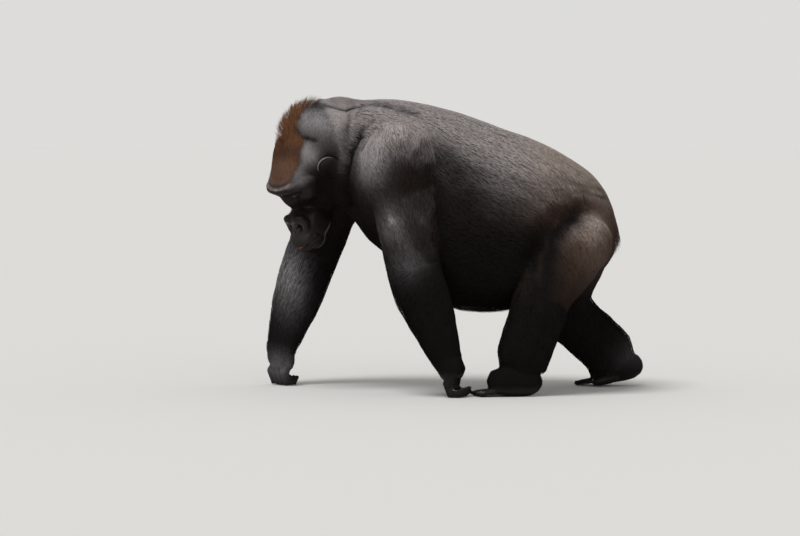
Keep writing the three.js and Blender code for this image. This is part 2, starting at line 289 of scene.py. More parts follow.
def of_parts(*names):
    """1 at the points of these parts of the body, 0 elsewhere."""
    return np.isin(part, [FLESH.index(name) for name in names]).astype(float)


def by_part(table):
    """At each point, the row of a table whose key its part's name starts with."""
    rows = [next(row for start, row in table.items() if name.startswith(start)) for name in FLESH]
    return np.array(rows, float)[part]


# Rounds of smoothing: many on the trunk, whose solids have wide flat faces, few on the small parts.
ROUNDS = {
    "head": 4, "ear": 2, "neck": 9, "chest": 44, "abdomen": 44, "rump": 44, "upper_arm": 30, "forearm": 26,
    "hand": 4, "thigh": 44, "shank": 28, "foot": 5,
}
rounds = spread(by_part(ROUNDS), 6)
for turn in range(max(ROUNDS.values()) + 2):
    amount = np.clip(rounds - turn, 0, 1)[:, None]
    points += (around(points) - points) * 0.55 * amount
    points -= (around(points) - points) * 0.5 * amount * (turn % 3 > 0)

# How deep the coat is over the skin, in millimetres.
COAT = {
    "head": 0, "ear": 0, "neck": 5, "chest": 6, "abdomen": 7, "rump": 7, "upper_arm": 6.5, "forearm": 8,
    "hand": 2.5, "thigh": 7, "shank": 7.5, "foot": 2,
}
coat_depth = spread(by_part(COAT), 10) / 1000
points -= normals() * coat_depth[:, None]
normals()

# ---- Head: brow, eyelids, nose, lips and ears ----
# The skull's forms, blended into each other and grown out from the skin's rough head. Places are forward,
# left and up of the middle of the skull, in millimetres, and a place with a left value is on both sides.
HEAD_AT, HEAD_SIZE, HEAD_TURN, HEAD_NOD = (-0.45925, -0.00968, 0.701), 1.09, 40, 55
HEAD_BACK = -0.34  # where it ends, along the body
skull_place = (
    Matrix.Translation(HEAD_AT)
    @ Matrix.Rotation(math.radians(180 + HEAD_TURN), 4, "Z")
    @ Matrix.Rotation(math.radians(HEAD_NOD), 4, "Y")
    @ Matrix.Scale(HEAD_SIZE / 1000, 4)
)
TO_SKULL = np.array(skull_place.inverted())
FROM_SKULL = np.array(skull_place)


def in_frame(place, at):
    """Points carried by a matrix."""
    return at @ place[:3, :3].T + place[:3, 3]


# Each form has its place, its half sizes forward, left and up, and how softly it joins the ones before.
FORMS = [
    [(-5, 0, 36), (84, 62, 68), 22],  # cranium
    [(-70, 0, 84), (76, 34, 62), 24],  # crest
    [(-20, 32, 66), (68, 40, 44), 22],  # temples
    [(44, 0, 52), (54, 62, 42), 22],  # forehead
    [(78, 0, 60), (32, 62, 17), 16],  # its lower edge behind the brow
    [(60, 0, -10), (50, 52, 56), 22],  # middle of the face
    [(-8, 52, 4), (34, 34, 46), 22],  # roots of the ears
    [(30, 46, -56), (48, 33, 62), 22],  # jaw muscles
    [(124, 0, -84), (58, 46, 40), 20],  # muzzle
    [(116, 0, -118), (58, 40, 32), 20],  # lower jaw
    [(20, 0, -86), (76, 46, 54), 22],  # throat
    [(-60, 0, 14), (68, 66, 82), 22],  # back of the head
    [(66, 54, 2), (28, 22, 22), 26],  # cheek bones
    [(88, 36, 2), (14, 18, 14), 18],  # pouches under the eyes
    [(112, 0, 8), (18, 15, 42), 14],  # bridge of the nose
    [(138, 0, -50), (26, 31, 30), 14],  # root of the nose's wings
    [(172, 0, -86), (37, 41, 19), 12],  # upper lip
    [(172, 0, -116), (36, 36, 16), 10],  # lower lip
    [(154, 0, -138), (28, 31, 22), 12],  # chin
    [(98.5, 33, 27), (15.6, 18.5, 15.6), 7],  # lids over the eyes
]
# Rounded cords of flesh: stations with a thickness, and how softly they join.
CORDS = [
    # brow, a bar over both eyes
    [
        [(111, 0, 55, 14), (109, 22, 55, 15), (104, 42, 53, 15),
         (94, 60, 47, 13), (76, 70, 38, 12), (56, 74, 24, 10)],
        18,
    ],
    # wings of the nose, round each nostril
    [
        [(157, 8, -34, 10), (154, 19, -32, 12), (149, 30, -40, 13), (151, 36, -55, 12.5),
         (162, 33, -69, 10.5), (175, 21, -79, 7)],
        6,
    ],
    [[(161, 0, -44, 7), (171, 0, -58, 7), (184, 0, -77, 7)], 6],  # partition of the nose
    # rims of the lips
    [[(204, 0, -92, 6), (197, 20, -94, 6), (181, 34, -99, 5), (160, 38, -106, 4)], 9],
    [[(203, 0, -109, 6), (195, 20, -110, 6), (177, 32, -113, 5), (160, 35, -116, 4)], 9],
    [[(112, 18, 36, 3), (110, 34, 39.5, 3.4), (98, 50, 32, 3)], 5],  # upper lids
    [[(111, 20, 17.5, 2.6), (109, 34, 14, 3), (97, 49, 20, 2.6)], 5],  # lower lids
]
# What is cut away: the openings between the lids, and the nostrils as cords.
HOLLOWS = [[(116, 33.5, 26), (13, 13.5, 5), 2]]
NOSTRILS = [(197, 13, -52, 11), (180, 15.5, -57, 10.5), (156, 18, -60, 7)]
# Pits and creases: a line of places, how deep they are pressed, and how wide.
PRESSED = [
    [[(170, 0, -24), (170, 0, -42)], 5, 5],  # groove down the nose's tip
    # mouth
    [[(208, 0, -100), (201, 19, -101.5), (186, 34, -104), (168, 42, -109), (150, 47, -116)], 5.5, 2.8],
    [[(118, 0, 73), (114, 22, 73), (104, 44, 72), (90, 62, 66)], 4.5, 5],  # furrow over the brow
    [[(140, 0, 66), (134, 0, 40)], 4, 7],  # between the brows
    [[(132, 20, -16), (138, 44, -24), (146, 55, -46), (156, 54, -70)], 7, 6],  # round the wings
    [[(196, 10, -84), (206, 9, -98)], 1.6, 2],  # folds of the upper lip
    [[(186, 24, -86), (194, 27, -100)], 1.6, 2],
    [[(128, 12, 22), (122, 26, 2), (104, 46, -4)], 3, 4],  # under the eyes
    [[(206, 0, -72), (204, 0, -90)], 2.5, 4],  # groove of the upper lip
]


def ball(at, centre, half):
    """Distance from an ellipsoid, below nought inside it."""
    at = at - centre
    reach = np.sqrt(((at / half) ** 2).sum(1))
    slope = np.sqrt(((at / np.square(half)) ** 2).sum(1))
    return reach * (reach - 1) / np.maximum(slope, 1e-9)


def cord(at, stations):
    """Distance from a rounded cord through these stations."""
    stations = np.array(stations, float)
    best = np.full(len(at), 1e9)
    for a, b in zip(stations, stations[1:]):
        way = b[:3] - a[:3]
        share = np.clip((at - a[:3]) @ way / (way @ way), 0, 1)
        near = np.sqrt(((at - a[:3] - share[:, None] * way) ** 2).sum(1))
        best = np.minimum(best, near - (a[3] + (b[3] - a[3]) * share))
    return best


def blend(first, second, width):
    """Two forms joined softly, over this width."""
    near = np.maximum(width - np.abs(first - second), 0) / width
    return np.minimum(first, second) - near * near * width / 4


def mirrored(at):
    """Places on the skull's right brought to its left."""
    return at * [1, 0, 1] + np.abs(at) * [0, 1, 0]


# The ear stands out from the head. Its own places are forward, outward and up of its middle.
EAR_AT, EAR_STANDS, EAR_SIZE = np.array((-5.0, 92.0, 6.0)), math.radians(32), 1.12
EAR_TURN = np.array([
    [math.cos(EAR_STANDS), -math.sin(EAR_STANDS), 0],
    [math.sin(EAR_STANDS), math.cos(EAR_STANDS), 0],
    [0, 0, 1],
])


def arc(long, high, out, start, end, thick, stations=14):
    """Stations of a cord along an arc that stands upright, between two angles."""
    turns = [math.radians(start + (end - start) * i / (stations - 1)) for i in range(stations)]
    return [(long * math.cos(t), out, high * math.sin(t), thick) for t in turns]


# The neck behind the head: stations along, across and up in the animal's own frame, with half height and
# half width. That frame lies a little off the frame of the nodes.
OWN_ORIGIN = (4.75, 5.32, 0)
NECK_END = 14  # how far the neck's end is rounded
NECK = np.array([
    (-320, 0, 754, 156, 118), (-345, -6, 766, 148, 108), (-392, -16, 804, 118, 77),
    (-440, -30, 822, 92, 82), (-474, -38, 832, 72, 66), (-492, -42, 838, 50, 44),
], float) + (*OWN_ORIGIN, 0, 0)


def neck(at):
    """Distance from the neck, in the skull's millimetres."""
    at = in_frame(FROM_SKULL, at) * 1000
    shape = np.full(len(at), 1e3)
    for a, b in zip(NECK, NECK[1:]):
        way = b[:3] - a[:3]
        long = np.linalg.norm(way)
        way /= long
        off = at - a[:3]
        along = off @ way
        share = np.clip(along / long, 0, 1)
        beyond = along - share * long
        across = off[:, 1] - along * way[1]
        rise = np.sqrt(np.maximum((off**2).sum(1) - along**2 - across**2, 0))
        high, wide = (a[3:] + (b[3:] - a[3:]) * share[:, None]).T
        reach = np.sqrt((across / wide) ** 2 + (rise / high) ** 2 + (beyond / NECK_END) ** 2)
        steep = (across / wide**2) ** 2 + (rise / high**2) ** 2 + (beyond / NECK_END**2) ** 2
        shape = blend(shape, reach * (reach - 1) / np.sqrt(np.maximum(steep, 1e-9)), 12)
    swell = ball(at - OWN_ORIGIN, (-402, -66, 818), (107, 68, 78))
    shape = blend(shape, swell, 30)
    # room round the ears
    by_ear = (mirrored(in_frame(TO_SKULL, at / 1000)) - EAR_AT) @ EAR_TURN.T
    return -blend(-shape / HEAD_SIZE, ball(by_ear, (-6, 8, 0), (42, 22, 46)), 12)


def ear(at):
    """Distance from the left ear: a thin shell with a rolled rim, hollowed in the middle."""
    at = (at - EAR_AT) @ EAR_TURN.T / EAR_SIZE
    shape = ball(at, (-2, -1, 0), (27, 4.5, 30))
    shape = blend(shape, cord(at, arc(28, 31, 3.5, -30, 235, 3.2)), 3)
    shape = blend(shape, ball(at, (5, 1, -31), (9, 4.5, 8)), 4)  # lobe
    shape = blend(shape, ball(at, (20, 3, -10), (6, 5, 9)), 3)  # flap before the opening
    shape = -blend(-shape, ball(at, (2, 7, 4), (20, 6.5, 23)), 3)
    shape = -blend(-shape, ball(at, (9, 5, -8), (9, 8, 11)), 3)
    return EAR_SIZE * blend(shape, cord(at, arc(15, 18, 3.2, 70, 230, 1.8, 8)), 3)  # inner fold


def skull(place):
    """Distance from the head without its ears and neck."""
    at = mirrored(place)
    shape = np.full(len(at), 1e3)
    for centre, half, width in FORMS:
        shape = blend(shape, ball(at, centre, half), width)
    for stations, width in CORDS:
        shape = blend(shape, cord(at, stations), width)
    for centre, half, width in HOLLOWS:
        shape = -blend(-shape, ball(at, centre, half), width)
    shape = -blend(-shape, cord(at, NOSTRILS), 4)
    for places, deep, wide in PRESSED:
        line = cord(at, [(*spot, 0) for spot in places])
        shape += deep * np.exp(-((line / wide) ** 2))
    return shape


def head(place):
    """Distance from the whole head, cut off flat behind, well inside the skin of the neck."""
    behind = (in_frame(FROM_SKULL, place)[:, 0] - HEAD_BACK) * 1000 / HEAD_SIZE
    return np.maximum(blend(blend(skull(place), neck(place), 7), ear(mirrored(place)), 6), behind)


def surface(field, low, high, step):
    """A mesh of squares where a field is nought, with one point in each cell that the surface crosses."""
    block = 4  # cells along a block of the rough grid
    reach = 7 * step  # blocks whose corners are nearer than this are worked out in full
    cells = np.ceil((np.array(high) - low) / (step * block)).astype(int)
    corners = np.stack(np.meshgrid(*[np.arange(n + 1) for n in cells], indexing="ij"), -1)
    rough = field(low + corners.reshape(-1, 3) * step * block).reshape(cells + 1)
    nearest = np.full(cells, 1e9)
    for shift in np.ndindex(2, 2, 2):
        slab = rough[tuple(slice(s, s + n) for s, n in zip(shift, cells))]
        nearest = np.minimum(nearest, np.abs(slab))
    close = nearest < reach
    for k in range(3):
        rough = np.repeat(rough, block, k)
        close = np.repeat(close, block, k)
    rough = rough[tuple(slice(0, n * block) for n in cells)]
    spots = np.argwhere(close)
    rough[tuple(spots.T)] = field(low + spots * step)
    within = rough < 0
    ends_inside = sum(
        within[tuple(slice(s, n - 1 + s) for s, n in zip(shift, within.shape))].astype(np.int8)
        for shift in np.ndindex(2, 2, 2)
    )
    crossed = (ends_inside > 0) & (ends_inside < 8)
    number = np.full(crossed.shape, -1)
    cell = np.argwhere(crossed)
    number[tuple(cell.T)] = np.arange(len(cell))
    total, hits = np.zeros((len(cell), 3)), np.zeros(len(cell))
    squares = []
    for axis in range(3):
        step_on = np.eye(3, dtype=int)[axis]
        one, two = (np.eye(3, dtype=int)[(axis + k) % 3] for k in (1, 2))
        for a, b in np.ndindex(2, 2):
            start = cell + a * one + b * two
            first, last = rough[tuple(start.T)], rough[tuple((start + step_on).T)]
            cut = (first < 0) != (last < 0)
            share = np.where(cut, first / np.where(cut, first - last, 1), 0)
            total += np.where(cut[:, None], start + share[:, None] * step_on, 0)
            hits += cut
        low_end = within[tuple(slice(1, n - 1) for n in within.shape)]
        high_end = within[tuple(slice(1 + d, n - 1 + d or None) for d, n in zip(step_on, within.shape))]
        edge = np.argwhere(low_end != high_end) + 1
        square = np.stack([number[tuple((edge - m).T)] for m in (one * 0, one, one + two, two)], 1)
        flip = ~within[tuple(edge.T)]
        square[flip] = square[flip][:, ::-1]
        squares.append(square)
    return low + total / hits[:, None] * step, np.concatenate(squares)


def spot_at(at, centre, half):
    """1 at a place, and softly less away from it."""
    return np.exp(-(((at - np.array(centre)) / half) ** 2).sum(1))


HEAD_LOW, HEAD_HIGH, HEAD_FINE = (-230, -200, -230), (234, 200, 226), 2.0
grown, squares = surface(head, HEAD_LOW, HEAD_HIGH, HEAD_FINE)
loose = bpy.data.meshes.new("head")
loose.from_pydata(in_frame(FROM_SKULL, grown).tolist(), [], squares.tolist())
head_piece = bpy.data.objects.new("head_piece", loose)
bpy.context.collection.objects.link(head_piece)
coarse = head_piece.vertex_groups.new(name="coarse")
behind = (grown[:, 0] < 60) & (np.abs(grown[:, 1]) < 84) | (grown[:, 2] > 80)
coarse.add(np.nonzero(behind)[0].tolist(), 1.0, "REPLACE")
thin = head_piece.modifiers.new("thin_out", "DECIMATE")
thin.vertex_group, thin.ratio = "coarse", 0.5
settle(head_piece)
join = skin.modifiers.new("join", "BOOLEAN")
join.operation, join.solver, join.object = "UNION", "MANIFOLD", head_piece
settle(skin)
bpy.data.objects.remove(head_piece)
skin.vertex_groups.clear()
take()
part = parts_of(points)

# The neck is evened out, away from skull and ears, and then the seam where the two surfaces meet.
NECK_BEFORE, NECK_OVER = -0.26, 0.5
SEAM_AT, SEAM_WIDE = -0.335, 0.05
at = in_frame(TO_SKULL, points)
near = np.nonzero((points[:, 0] < -0.3) & (points[:, 2] > NECK_OVER))[0]
off_head = np.ones(count)
off_head[near] = ramp(skull(at[near]) - neck(at[near]), -3, 6) * ramp(ear(mirrored(at[near])), 1, 12)
calm = spread(off_head * (points[:, 0] < NECK_BEFORE) * (points[:, 2] > NECK_OVER), 3)
for turn in range(24):
    points += (around(points) - points) * 0.6 * calm[:, None]
calm = np.exp(-(((points[:, 0] - SEAM_AT) / SEAM_WIDE) ** 2)) * ramp(points[:, 2], 0.45, 0.55)
for turn in range(100):
    points += (around(points) - points) * 0.7 * calm[:, None]

# The thick hair of the nape fills its dip.
NAPE_AT, NAPE_HALF, NAPE_LIFT = (-0.335, -0.01, 0.915), (0.08, 0.08, 0.05), 0.012
points[:, 2] += NAPE_LIFT * spot_at(points, NAPE_AT, NAPE_HALF)
normals()

# ---- Folds of the body ----
# Skin and muscle under the coat: the fold of the flank before each thigh, the hollows between neck and
# shoulders, and the fold under the nape. Each is a line seen from the side: along and up, in millimetres,
# with the side it is on, how deep it is and how wide.
FOLDS = {
    "left_flank": (-1, [(384, 566), (322, 545), (272, 496), (244, 430)], 32, 46),
    "left_swell": (-1, [(350, 614), (290, 598), (226, 534), (180, 446), (160, 350)], -8, 34),
    "left_rump": (-1, [(299, 669), (378, 663), (450, 644)], 3, 7),
    "left_rump_below": (-1, [(305, 645), (394, 640), (457, 620)], 3, 7),
    "left_neck": (-1, [(-304, 806), (-328, 752), (-345, 676), (-332, 590)], 17, 14),
    "left_shoulder": (-1, [(-262, 850), (-296, 822), (-322, 772)], 5, 9),
    "left_shoulder_behind": (-1, [(-236, 834), (-268, 806), (-292, 764)], 4, 8),
    "nape": (-1, [(-419, 899), (-346, 888), (-268, 903), (-198, 891), (-122, 872)], 7, 9),
    "behind_left_arm": (-1, [(-230, 640), (-180, 560), (-120, 470), (-75, 380)], 8, 22),
    "right_flank": (1, [(360, 570), (310, 530), (275, 450), (250, 360)], 30, 30),
    "right_neck": (1, [(-322, 842), (-343, 770), (-345, 676), (-330, 600)], 13, 15),
}


def from_line(at, line):
    """How far places are from a line, all in millimetres."""
    line = np.array(line, float)
    best = np.full(len(at), 1e9)
    for a, b in zip(line, line[1:]):
        way = b - a
        share = np.clip((at - a) @ way / (way @ way), 0, 1)
        best = np.minimum(best, np.sqrt(((at - a - share[:, None] * way) ** 2).sum(1)))
    return best


skin_out = normals()
flat = points[:, ::2] * 1000
for side, line, deep, wide in FOLDS.values():
    share = np.exp(-((from_line(flat, line) / wide) ** 2)) * ramp(points[:, 1] * side, 0.02, 0.06)
    share *= ramp(skin_out[:, 1] * side, -0.1, 0.3)
    points -= skin_out * (share * deep / 1000)[:, None]

# ---- Fingers and toes ----
# The grooves between them, and the palms' and soles' own frames: forward, inward and up of the knuckles or
# of the heel's back.
HANDS = {"left": ((-0.0013, -0.23468), -16), "right": ((-0.55275, 0.24132), -32)}
FEET = {"left": ((0.28675, -0.19668), 6, 0.0), "right": ((0.62275, 0.20132), 10, 0.03)}


def own_frame(side, centre, sweep):
    """The place of a hand or foot: its axes are forward, inward and up."""
    which = -1 if side == "left" else 1
    turn = math.radians(-which * sweep)
    forward = Vector((-math.cos(turn), -math.sin(turn), 0))
    inward = Vector((math.sin(turn), -math.cos(turn), 0)) * which
    place = Matrix((forward, inward, (0, 0, 1))).transposed().to_4x4()
    place.translation = (*centre, 0)
    return place


HAND_FRAMES = {side: own_frame(side, *row) for side, row in HANDS.items()}
FOOT_FRAMES = {side: own_frame(side, *row[:2]) for side, row in FEET.items()}
skin_out = normals()
for side in ("left", "right"):
    local = in_frame(np.array(HAND_FRAMES[side].inverted()), points) * 1000
    groove = sum(np.exp(-(((local[:, 1] - gap) / 4.5) ** 2)) for gap in (-26, 0, 26))
    palm = ramp(-skin_out[:, 2], 0.6, 0.9)
    groove *= of_parts("hand_" + side) * ramp(-local[:, 2], -84, -60) * (1 - 0.8 * palm)
    points -= skin_out * (groove * 0.006)[:, None]
    local = in_frame(np.array(FOOT_FRAMES[side].inverted()), points) * 1000
    groove = sum(np.exp(-(((local[:, 1] - gap) / 3.5) ** 2)) for gap in (-20, 0, 20, 40))
    groove *= of_parts("foot_" + side) * ramp(local[:, 0], 158, 176) * ramp(skin_out[:, 2], -0.5, 0.2)
    points -= skin_out * (groove * 0.004)[:, None]
normals()

# ---- Lie of the coat ----
# How the hair lies, how long it is and how far it stands off at each point of the skin. It runs back and
# down from the crown over the trunk and legs, and up the forearms from the wrists to the elbows.
LIE = {
    "head": (0.3, 0, 0.95), "ear": (0.7, 0, 0.2), "neck": (0.74, 0.3, -0.6), "chest": (0.88, 0.3, -0.42),
    "abdomen": (0.88, 0.3, -0.46), "rump": (0.72, 0.3, -0.66), "upper_arm": (0.24, 0.7, -0.9),
    "forearm": (0.45, 0, 0.9), "hand": (0.2, 0, 1), "thigh": (0.46, 0.4, -0.85), "shank": (0.25, 0, -1),
    "foot": (-0.9, 0, -0.3),
}
LENGTH = {
    "head": 10, "ear": 4, "neck": 20, "chest": 25, "abdomen": 29, "rump": 25, "upper_arm": 28,
    "forearm": 33, "hand": 13, "thigh": 27, "shank": 29, "foot": 11,
}


skin_out = normals()
at_head = in_frame(TO_SKULL, points)
fore, beside, above = at_head[:, 0], np.abs(at_head[:, 1]), at_head[:, 2]
on_skull = of_parts("head", "ear_left", "ear_right")[:, None]
up, forward, side = at_head[:, 2:], at_head[:, :1], np.sign(at_head[:, 1:2])
back_down = np.hstack([-np.ones_like(up), 0.35 * side, -0.7 * np.ones_like(up)])
up_back = np.hstack([np.where(forward > 0, -0.35, -0.8), 0.1 * side, np.where(forward > -60, 0.9, 0.3)])
on_face = ramp(40 - up, -10, 25) * ramp(forward, -60, 0)
streams = (up_back * (1 - on_face) + back_down * on_face) @ np.array(skull_place.to_3x3()).T * 1000
lie = by_part(LIE)
lie[:, 1] *= np.clip(points[:, 1] / 0.06, -1, 1)
on_skull *= 1 - ramp(-at_head[:, :1], 84, 150) * ramp(np.abs(at_head[:, 1:2]), 14, 34)
on_skull = spread(on_skull, 5)
lie = lie * (1 - on_skull) + streams * on_skull
lie = spread(lie, 18)
lie -= (lie * skin_out).sum(1)[:, None] * skin_out
lie = spread(lie, 6)
hair_length = spread(by_part(LENGTH), 10) / 1000
wrist = of_parts("forearm_left", "forearm_right") * ramp(-points[:, 2], -0.26, -0.13)
hair_length *= 1 - 0.5 * wrist
hair_length *= 1 - 0.25 * of_parts("shank_left", "shank_right") * ramp(-points[:, 2], -0.24, -0.1)
hair_length += 0.009 * spread(of_parts("head"), 4) * ramp(-fore, 60, 130)
nape = spot_at(points, (-0.37, -0.01, 0.92), (0.07, 0.07, 0.04))
hair_length += 0.006 * nape
belly = ramp(-skin_out[:, 2], 0.55, 0.95) * ramp(-points[:, 2], -0.42, -0.3) * of_parts("abdomen", "chest")
hair_length *= 1 + 0.7 * spread(belly, 4)
crown = ramp(50 - beside, -4, 20) * ramp(above - 0.5 * fore, 78, 118) * on_skull[:, 0]
crown *= 1 - ramp(-fore, 80, 130) * ramp(beside, 16, 34)
crown = spread(crown * ramp(fore, -190, -150), 2)
hair_length += 0.018 * crown
tail = spot_at(points, (0.523, -0.03, 0.489), 0.04)
hair_length += 0.018 * tail
fringe = spot_at(points, (-0.183, -0.22, 0.253), (0.03, 0.06, 0.03))
hair_length += 0.012 * fringe
stand = 0.75 * crown + 0.7 * tail + 0.28 * spread(belly, 4) + 0.5 * fringe + 0.3 * nape
coat_depth = spread(by_part(COAT | {"head": 3, "ear": 1}), 10) / 1000
coat_depth *= 1 - 0.6 * wrist

# Bare skin: face, inside of the ears, palms, soles, fingers and toes.
upper_face = ramp(fore, 60, 84) * ramp(-above, -80, -74) * ramp(above, -30, 0)
lower_face = ramp(fore - 0.4 * beside, 72, 96) * ramp(-above, 0, 30)
on_head = on_skull[:, 0]
bare = np.maximum(upper_face, lower_face) * on_head
in_ear = (mirrored(at_head) - EAR_AT) @ EAR_TURN.T / EAR_SIZE
from_middle = np.hypot(in_ear[:, 0] / 28, in_ear[:, 2] / 31)
ear_edge = from_middle - 0.4 * ramp(-in_ear[:, 2], 0, 16)
on_ear = of_parts("ear_left", "ear_right") * ramp(-ear_edge, -1.2, -1.1)
bare = np.maximum(bare, on_ear)
low = of_parts("hand_left", "hand_right", "foot_left", "foot_right")
bare = np.maximum(bare, low * ramp(-skin_out[:, 2], 0.15, 0.6))
bare = np.maximum(bare, low * ramp(-points[:, 2], -0.05, -0.022))
bare = np.maximum(bare, of_parts("hand_left", "hand_right") * ramp(-points[:, 2], -0.088, -0.064))
bare = spread(bare, 2)

# ---- Markings ----
# Shares of four colours over the black of skin and coat, kept on both: grey, most of it painted sheen and
# highlights on back, shoulders and the parts that face up, brown on rump and thighs, chestnut on crown and
# forehead, and a rosy lip on the skin. Painted shade takes grey and brown out of folds, hollows and
# the underside.
mm = points * 1000
rise, high, aft = skin_out[:, 2], points[:, 2], points[:, 0]
trunk = of_parts("neck", "chest", "abdomen", "rump", "upper_arm_left", "upper_arm_right")
trunk = spread(np.maximum(trunk, of_parts("thigh_left", "thigh_right")), 6)
# Painted sheen: coat and skin of trunk and thighs are greyer where they face up, most on the back.
grey_and_sheen = trunk * (1.3 * np.clip(rise, 0, 1) ** 1.6 - 0.2 * ramp(rise, 0.85, 1)) * ramp(high, 0.35, 0.7)
# Painted highlights and sheen on both sides: pale patches on shoulders, back, flanks, thighs and neck.
for centre, half, amount in (
    ((-272, 240, 766), (48, 140, 84), 0.82),  # shoulders
    ((200, 220, 760), (130, 140, 60), 0.26),  # sides of the back
    ((190, 220, 650), (120, 140, 80), 0.13),  # rear of the flanks
    ((440, 180, 480), (54, 120, 110), 0.15),  # backs of the thighs
    ((-350, 150, 800), (70, 90, 60), 0.3),  # sides of the neck
):
    for side in (-1, 1):
        grey_and_sheen += amount * spot_at(mm, (centre[0], side * centre[1], centre[2]), half)
# Painted highlights on the left upper arm, elbow and thigh, the right forearm, hand and heel, behind the
# left ear and beside the nape; the old scar is pale skin of its own.
for centre, half, amount in (
    ((-198, -250, 548), (44, 90, 66), 0.3),  # left upper arm
    ((-150, -240, 422), (42, 90, 58), 0.4),  # left elbow
    ((-203, -280, 562), (7, 60, 8), 0.5),  # old scar on it
    ((402, -180, 500), (34, 90, 44), 0.12),  # left thigh
    ((-528, 250, 325), (46, 90, 95), 0.6),  # right forearm
    ((-352, -120, 716), (22, 80, 32), 0.35),  # behind the left ear
    ((-566, 225, 62), (44, 80, 40), 0.34),  # back of the right hand
    ((560, 200, 110), (60, 60, 50), 0.12),  # right heel
    ((-430, -130, 822), (84, 70, 66), 0.5),  # fold beside the nape
):
    grey_and_sheen += amount * spot_at(mm, centre, half)
# Brown on rump and thighs, with a painted brown sheen where the trunk faces up.
brown = 0.85 * ramp(aft, 0.1, 0.42) * ramp(high, 0.28, 0.5) + 0.3 * trunk * ramp(rise, 0.1, 0.8)
brown += 0.15 * ramp(high, 0.42, 0.6) * trunk + 0.25 * of_parts("thigh_left") * ramp(high, 0.2, 0.3)
# Painted shade: dark lines and patches in the hollows before the thighs, in the folds of neck, nape,
# shoulders and rump, behind the arms, and at the crease before the nape's fold.
painted_shade = np.zeros(count)
for side, line, wide, amount in (
    (-1, [(350, 560), (300, 510), (288, 440), (262, 320)], 46, 1),
    (1, FOLDS["right_flank"][1], 52, 1),
    (-1, FOLDS["left_neck"][1], 22, 1), (1, FOLDS["left_neck"][1], 22, 1), (-1, FOLDS["nape"][1], 9, 0.8),
    (-1, [(-100, 650), (-70, 500), (-10, 340)], 70, 1), (1, [(-100, 650), (-120, 480)], 60, 1),
    (-1, [(-498, 900), (-509, 836), (-482, 800), (-436, 790)], 8, 1),
    (-1, [(236, 430), (240, 300)], 36, 1), (-1, [(-140, 766), (-60, 756), (0, 700)], 44, 0.72),
    (-1, [(-40, 720), (16, 640), (30, 540)], 56, 0.6),
    (-1, FOLDS["left_rump"][1], 6, 0.45), (-1, FOLDS["left_rump_below"][1], 6, 0.45),
    (-1, FOLDS["left_shoulder"][1], 4, 0.6), (-1, FOLDS["left_shoulder_behind"][1], 4, 0.6),
    (-1, [(-284, 838), (-306, 806), (-316, 770)], 3, 0.5),
    (-1, [(-250, 836), (-282, 812), (-306, 766)], 3, 0.5),
):
    near = amount * np.exp(-((from_line(mm[:, ::2], line) / wide) ** 2))
    painted_shade = np.maximum(painted_shade, near * ramp(points[:, 1] * side, 0.02, 0.06))
# Painted shade on the underside of belly, chest and rump; the left arm is kept almost free of painted
# shade.
below = ramp(-high, -0.62, -0.46) * of_parts("abdomen", "chest", "rump") * ramp(-aft, -0.4, -0.3)
painted_shade = np.maximum(painted_shade, below)
painted_shade *= 1 - of_parts("upper_arm_left", "forearm_left") * 0.9
up_seen = 0.19 * above - 0.29 * fore
crown_side = 64 - 24 * ramp(up_seen, 28, 38) - 14 * ramp(up_seen, 50, 66)
crown_all = ramp(crown_side - beside, -4, 10) * ramp(above, 68, 76) * on_head * ramp(fore, -196, -168)
ridge = ramp(34 - beside, -6, 14) * ramp(up_seen, 42, 52) * on_head * ramp(fore, -232, -200)
crown_all = np.maximum(crown_all, ridge)
band = np.exp(-(((above - 0.62 * fore - 92) / 12) ** 2))
chestnut = spread(crown_all * (1 - 0.7 * band), 1)
places = np.stack([fore, beside, above], 1)
# Painted sheen on the temples, beside the brow and on the nape, painted highlights on the brow ridge's
# upper face and on the ear's rim, over the brow's own pale wrinkled skin and a grey lip.
head_grey_and_sheen = 1.15 * spot_at(places, (-6, 66, 70), (34, 24, 30))  # temples
head_grey_and_sheen += 0.5 * spot_at(places, (60, 66, 60), (26, 20, 26))
brow = ramp(fore, 78, 102) * np.exp(-(((above - 61) / 13) ** 2))
brow *= ramp(-beside, -72, -34) * ramp(rise, -0.35, 0.3)
wrinkles = 0.2 * np.cos(0.95 * above + 0.08 * beside) + 0.1 * np.sin(0.3 * beside + 0.2 * above)
head_grey_and_sheen += (0.62 + wrinkles) * brow
head_grey_and_sheen += 0.12 * spot_at(places, (172, 0, -86), (26, 50, 18))  # lip
head_grey_and_sheen = head_grey_and_sheen * (1 - on_ear) + 0.45 * on_ear * ramp(from_middle, 0.96, 1.03)
head_grey_and_sheen += 0.5 * ramp(up_seen, 30, 48) * on_head  # nape
head_grey_and_sheen *= 1 - crown_all
grey_and_sheen = grey_and_sheen * (1 - on_head) + (head_grey_and_sheen + grey_and_sheen * 0.6) * on_head * (1 - crown_all)
grey_and_sheen += 0.06 * crown_all * ramp(fore, 20, 60)
brown = brown * (1 - on_head) + 0.1 * on_head + 0.5 * crown_all * band + 0.4 * brow
# The painted shade takes grey and brown away.
grey_and_sheen, brown = grey_and_sheen * (1 - painted_shade), brown * (1 - painted_shade)
moist = np.maximum(spot_at(places, (172, 18, -46), (26, 28, 20)), 0.2 * bare)
